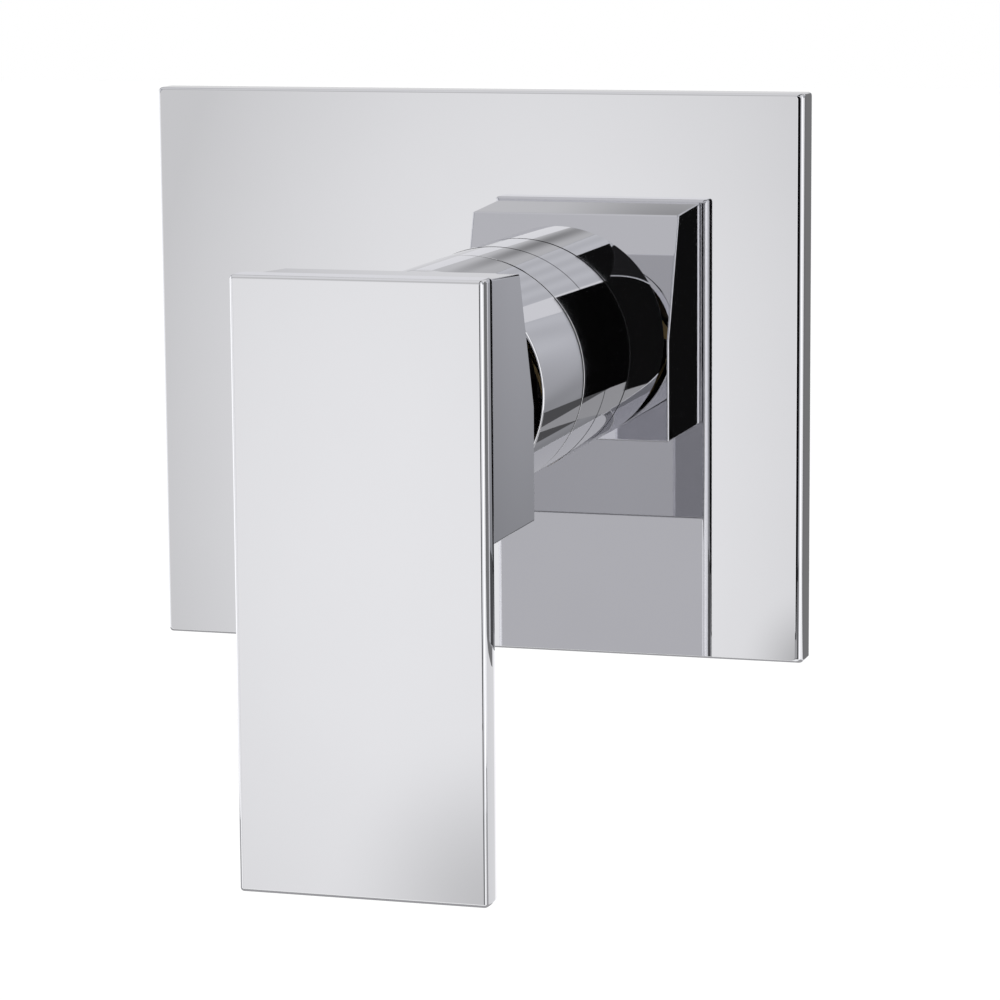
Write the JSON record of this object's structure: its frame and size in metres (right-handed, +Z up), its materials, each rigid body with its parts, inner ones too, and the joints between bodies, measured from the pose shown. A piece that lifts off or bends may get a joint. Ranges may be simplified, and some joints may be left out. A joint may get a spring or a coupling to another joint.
{
  "type": "single-lever shower mixer",
  "caption": "Wall-mounted single-lever shower mixer: rectangular cover plate, round sleeve, square block and long flat lever, with its ceramic-disc cartridge and in-wall body.",
  "frame": {"origin": "where the control's axis meets the finished face of the wall", "axes": "+Y into the wall along the control's axis, +Z up towards the shower outlet, +X towards the cold inlet, on the user's right"},
  "size_m": [0.131, 0.1336, 0.139],
  "materials": {
    "chrome": "polished",
    "cast_brass": "cast",
    "machined_brass": "machined",
    "dark_brass": "darkened",
    "plated_brass": "nickel plated",
    "steel": "machined",
    "white_plastic": "matte",
    "grey_plastic": "matte",
    "red_plastic": "matte",
    "ceramic": "lapped",
    "seal_rubber": "matte",
    "foam": "matte",
    "fibre": "matte"
  },
  "bodies": {
    "body": {"mixer_body": "cast_brass", "fixing_bracket": "steel", "bracket_screws": "steel", "outlet_plug": "plated_brass", "outlet_plug_seal": "fibre", "wall_plate": "chrome", "plate_gasket": "foam", "plate_o_ring": "seal_rubber", "rear_sleeve": "chrome", "sleeve_o_rings": "seal_rubber", "front_sleeve": "chrome", "cartridge_nut": "dark_brass", "limit_ring": "red_plastic", "cartridge_housing": "white_plastic", "cartridge_base": "white_plastic", "base_seals": "seal_rubber", "fixed_disc": "ceramic"},
    "rotor": {"cartridge_rotor": "grey_plastic", "rotor_seal": "seal_rubber", "pivot_pin": "steel"},
    "lever": {"stem": "machined_brass", "lever_block": "chrome", "lever_plate": "chrome", "lever_screws": "steel", "set_screw": "steel", "set_screw_cap": "chrome"},
    "disc": {"moving_disc": "ceramic", "disc_carrier": "grey_plastic"}
  },
  "joints": [
    {"name": "temperature_turn", "type": "hinge", "parent": "body", "child": "rotor", "pos_m": [0, 0, 0], "axis": [0, 1, 0], "range_deg": [-45, 45]},
    {"name": "flow_lift", "type": "hinge", "parent": "rotor", "child": "lever", "pos_m": [0, -0.03375, 0], "axis": [-1, 0, 0], "range_deg": [0, 22]},
    {"name": "disc_slide", "type": "slide", "parent": "rotor", "child": "disc", "axis": [0, 0, -1], "range_m": [0, 0.0036]}
  ],
  "couplings": [
    {"joint": "disc_slide", "follows": "flow_lift", "m_per_rad": 0.009}
  ]
}
